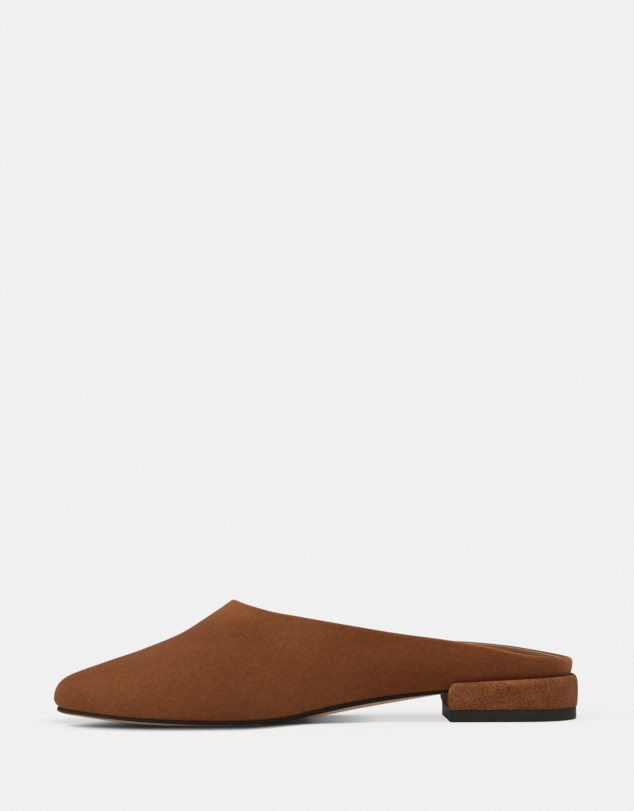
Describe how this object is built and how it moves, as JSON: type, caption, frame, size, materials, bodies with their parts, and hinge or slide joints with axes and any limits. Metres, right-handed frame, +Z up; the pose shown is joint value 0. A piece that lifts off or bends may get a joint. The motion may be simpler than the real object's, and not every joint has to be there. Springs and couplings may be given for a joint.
{
  "type": "mule shoe",
  "caption": "Flat closed-toe suede mule for a right foot, open-backed slip-on with a low wall round the heel, thin leather sole and low wrapped heel.",
  "frame": {"origin": "on the floor under the middle of the shoe's overall length and width", "axes": "+X towards the heel, -X towards the toe, +Y towards the outer side of a right foot, -Y towards the inner side, +Z up"},
  "size_m": [0.2609, 0.0862, 0.0597],
  "materials": {
    "suede": "tan-brown napped suede",
    "lining_leather": "smooth pale tan lining leather",
    "sole_leather": "leather sole with a black painted edge and a tan underside",
    "heel_suede": "tan-brown napped suede wrapped over the block",
    "heel_rubber": "black matte rubber"
  },
  "bodies": {
    "root": {"upper": "suede", "insole": "lining_leather", "outsole": "sole_leather", "heel_block": "heel_suede", "top_piece": "heel_rubber"}
  },
  "joints": []
}
